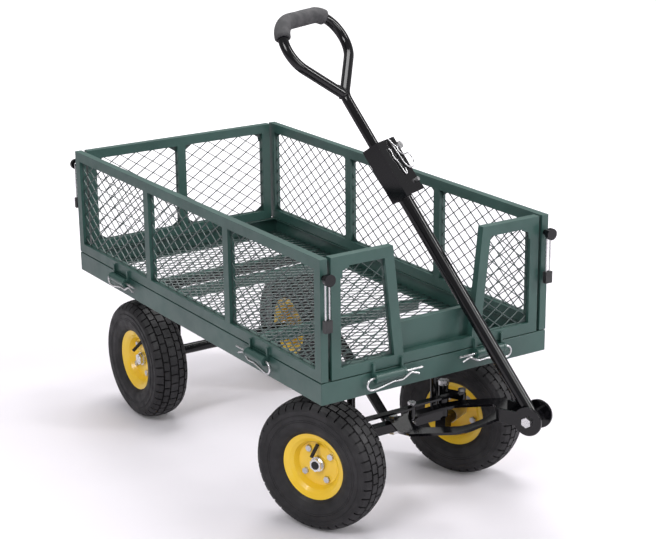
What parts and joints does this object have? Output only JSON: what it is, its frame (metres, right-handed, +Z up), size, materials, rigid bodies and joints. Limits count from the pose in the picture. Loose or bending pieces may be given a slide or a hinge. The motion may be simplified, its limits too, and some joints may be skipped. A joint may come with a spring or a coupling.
{
  "type": "garden cart",
  "caption": "Four-wheeled steel mesh garden cart with fold-down sides, knuckle steering, a towing tongue and a looped pull handle, for hauling garden loads.",
  "frame": {"origin": "on the ground, under the middle of the cart's bounding box, with the wheels standing on Z = 0", "axes": "+Z up, +Y towards the back of the cart, -Y towards the handle, +X towards the cart's right side seen from behind the handle looking back"},
  "size_m": [0.536, 1.1488, 0.9192],
  "materials": {
    "green_paint": "hammered satin powder coat",
    "mesh_paint": "satin powder coat",
    "black_paint": "glossy black paint",
    "yellow_paint": "glossy paint",
    "bright_steel": "zinc plated",
    "hub_steel": "zinc plated",
    "tyre_rubber": "moulded",
    "foam": "soft foam",
    "black_plastic": "moulded"
  },
  "bodies": {
    "cart": {"tray_rim": "green_paint", "floor_mesh": "mesh_paint", "floor_bars": "green_paint", "hinge_barrels": "green_paint", "hinge_clips": "bright_steel", "front_panel_frame": "green_paint", "front_panel_mesh": "mesh_paint", "front_sheet": "green_paint", "front_axle_frame": "black_paint", "centre_brace": "black_paint", "rear_axle_frame": "black_paint", "rear_axle_shaft": "bright_steel", "rear_axle_nuts": "bright_steel", "tongue_pivot_bolt": "bright_steel"},
    "left_panel": {"left_panel_frame": "green_paint", "left_panel_mesh": "mesh_paint", "left_latch_studs": "bright_steel"},
    "right_panel": {"right_panel_frame": "green_paint", "right_panel_mesh": "mesh_paint", "right_latch_studs": "bright_steel"},
    "back_panel": {"back_panel_frame": "green_paint", "back_panel_mesh": "mesh_paint"},
    "front_left_latch": {"front_left_bail": "bright_steel", "front_left_grip": "black_plastic"},
    "front_right_latch": {"front_right_bail": "bright_steel", "front_right_grip": "black_plastic"},
    "back_left_latch": {"back_left_bail": "bright_steel", "back_left_grip": "black_plastic"},
    "back_right_latch": {"back_right_bail": "bright_steel", "back_right_grip": "black_plastic"},
    "left_steer": {"left_knuckle": "black_paint", "left_steering_arm": "black_paint", "left_knuckle_bolts": "bright_steel"},
    "right_steer": {"right_knuckle": "black_paint", "right_steering_arm": "black_paint", "right_knuckle_bolts": "bright_steel"},
    "tongue": {"tongue_yoke": "black_paint", "coupler_ears": "black_paint", "tongue_bolts": "bright_steel"},
    "left_link": {"left_tie_rod": "black_paint"},
    "right_link": {"right_tie_rod": "black_paint"},
    "handle": {"handle_lower_tube": "black_paint", "handle_upper_tube": "black_paint", "foam_grip": "foam", "hitch_box": "black_paint", "hitch_pin": "bright_steel"},
    "front_left_wheel": {"front_left_tyre": "tyre_rubber", "front_left_rim": "yellow_paint", "front_left_hub": "hub_steel"},
    "front_right_wheel": {"front_right_tyre": "tyre_rubber", "front_right_rim": "yellow_paint", "front_right_hub": "hub_steel"},
    "rear_left_wheel": {"rear_left_tyre": "tyre_rubber", "rear_left_rim": "yellow_paint", "rear_left_hub": "hub_steel"},
    "rear_right_wheel": {"rear_right_tyre": "tyre_rubber", "rear_right_rim": "yellow_paint", "rear_right_hub": "hub_steel"}
  },
  "joints": [
    {"name": "tongue_steer", "type": "hinge", "parent": "cart", "child": "tongue", "pos_m": [0, -0.27657, 0.157], "axis": [0, 0, 1], "range_deg": [-50, 0]},
    {"name": "left_knuckle_steer", "type": "hinge", "parent": "cart", "child": "left_steer", "pos_m": [-0.118, -0.27657, 0.127], "axis": [0, 0, 1], "range_deg": [-50, 0]},
    {"name": "right_knuckle_steer", "type": "hinge", "parent": "cart", "child": "right_steer", "pos_m": [0.118, -0.27657, 0.127], "axis": [0, 0, 1], "range_deg": [-50, 0]},
    {"name": "left_tie_rod_swing", "type": "hinge", "parent": "tongue", "child": "left_link", "pos_m": [0.0169, -0.31282, 0.19], "axis": [0, 0, 1], "range_deg": [0, 50]},
    {"name": "right_tie_rod_swing", "type": "hinge", "parent": "tongue", "child": "right_link", "pos_m": [0.0169, -0.31282, 0.19], "axis": [0, 0, 1], "range_deg": [0, 50]},
    {"name": "handle_pivot", "type": "hinge", "parent": "tongue", "child": "handle", "pos_m": [0.12256, -0.5394, 0.222], "axis": [0.9063, 0.4226, 0], "range_deg": [0, 138]},
    {"name": "front_left_wheel_spin", "type": "hinge", "parent": "left_steer", "child": "front_left_wheel", "pos_m": [-0.18235, -0.30657, 0.127], "axis": [0.9063, 0.4226, 0], "continuous": true},
    {"name": "front_right_wheel_spin", "type": "hinge", "parent": "right_steer", "child": "front_right_wheel", "pos_m": [0.18235, -0.24656, 0.127], "axis": [0.9063, 0.4226, 0], "continuous": true},
    {"name": "rear_left_wheel_spin", "type": "hinge", "parent": "cart", "child": "rear_left_wheel", "pos_m": [-0.1927, 0.36743, 0.127], "axis": [1, 0, 0], "continuous": true},
    {"name": "rear_right_wheel_spin", "type": "hinge", "parent": "cart", "child": "rear_right_wheel", "pos_m": [0.1927, 0.36743, 0.127], "axis": [1, 0, 0], "continuous": true},
    {"name": "left_panel_fold", "type": "hinge", "parent": "cart", "child": "left_panel", "pos_m": [-0.2595, 0.06843, 0.3195], "axis": [0, -1, 0], "range_deg": [0, 170]},
    {"name": "right_panel_fold", "type": "hinge", "parent": "cart", "child": "right_panel", "pos_m": [0.2595, 0.06843, 0.3195], "axis": [0, 1, 0], "range_deg": [0, 170]},
    {"name": "back_panel_fold", "type": "hinge", "parent": "cart", "child": "back_panel", "pos_m": [0, 0.56293, 0.3195], "axis": [-1, 0, 0], "range_deg": [0, 175]},
    {"name": "front_left_latch_swing", "type": "hinge", "parent": "left_panel", "child": "front_left_latch", "pos_m": [-0.2425, -0.42757, 0.52], "axis": [0, 1, 0], "range_deg": [-100, 100]},
    {"name": "back_left_latch_swing", "type": "hinge", "parent": "left_panel", "child": "back_left_latch", "pos_m": [-0.2425, 0.56443, 0.52], "axis": [0, 1, 0], "range_deg": [-100, 100]},
    {"name": "front_right_latch_swing", "type": "hinge", "parent": "right_panel", "child": "front_right_latch", "pos_m": [0.2425, -0.42757, 0.52], "axis": [0, 1, 0], "range_deg": [-100, 100]},
    {"name": "back_right_latch_swing", "type": "hinge", "parent": "right_panel", "child": "back_right_latch", "pos_m": [0.2425, 0.56443, 0.52], "axis": [0, 1, 0], "range_deg": [-100, 100]}
  ],
  "couplings": [
    {"joint": "left_knuckle_steer", "follows": "tongue_steer", "ratio": 1},
    {"joint": "right_knuckle_steer", "follows": "tongue_steer", "ratio": 1},
    {"joint": "left_tie_rod_swing", "follows": "tongue_steer", "ratio": -1},
    {"joint": "right_tie_rod_swing", "follows": "tongue_steer", "ratio": -1}
  ]
}
